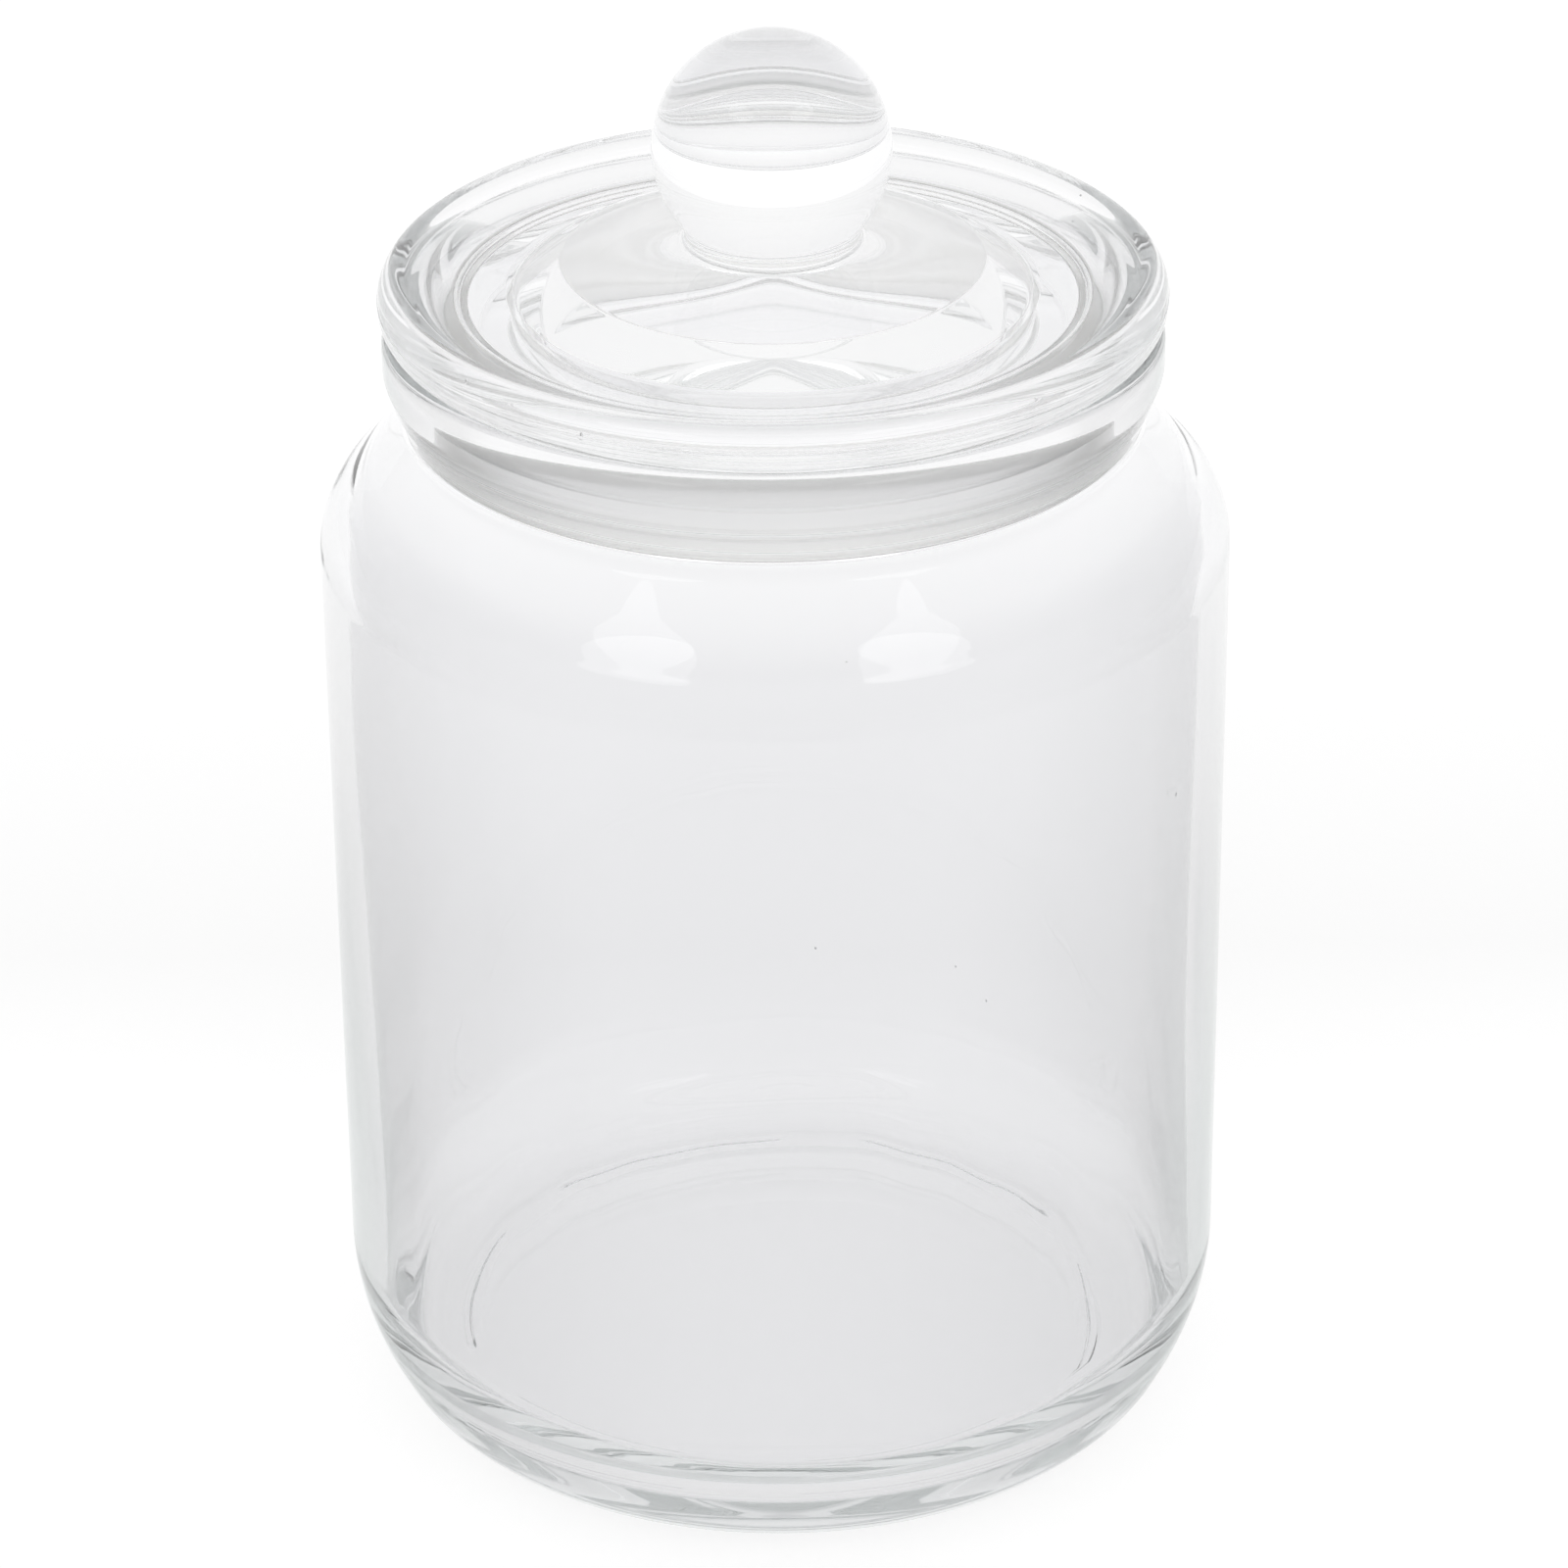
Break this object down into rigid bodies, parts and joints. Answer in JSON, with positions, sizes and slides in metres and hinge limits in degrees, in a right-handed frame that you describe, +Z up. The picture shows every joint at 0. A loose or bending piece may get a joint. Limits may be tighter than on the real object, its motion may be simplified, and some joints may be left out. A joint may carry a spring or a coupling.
{
  "type": "glass canister",
  "caption": "Clear hollow glass canister with rounded shoulder and collar, and a pressed glass lid with ball knob, plug and finned sealing ring.",
  "frame": {"origin": "middle of the circle that the jar stands on", "axes": "+Z up along the jar's axis of turning, +X to the right and +Y away as seen from the front"},
  "size_m": [0.128, 0.128, 0.2085],
  "materials": {
    "jar_glass": "clear blown soda-lime glass, fire polished, faint green in thick edges",
    "lid_glass": "clear pressed soda-lime glass, fire polished",
    "seal": "translucent frosted polyethylene, moulded"
  },
  "bodies": {
    "root": {"jar": "jar_glass", "lid": "lid_glass", "seal_ring": "seal"}
  },
  "joints": []
}
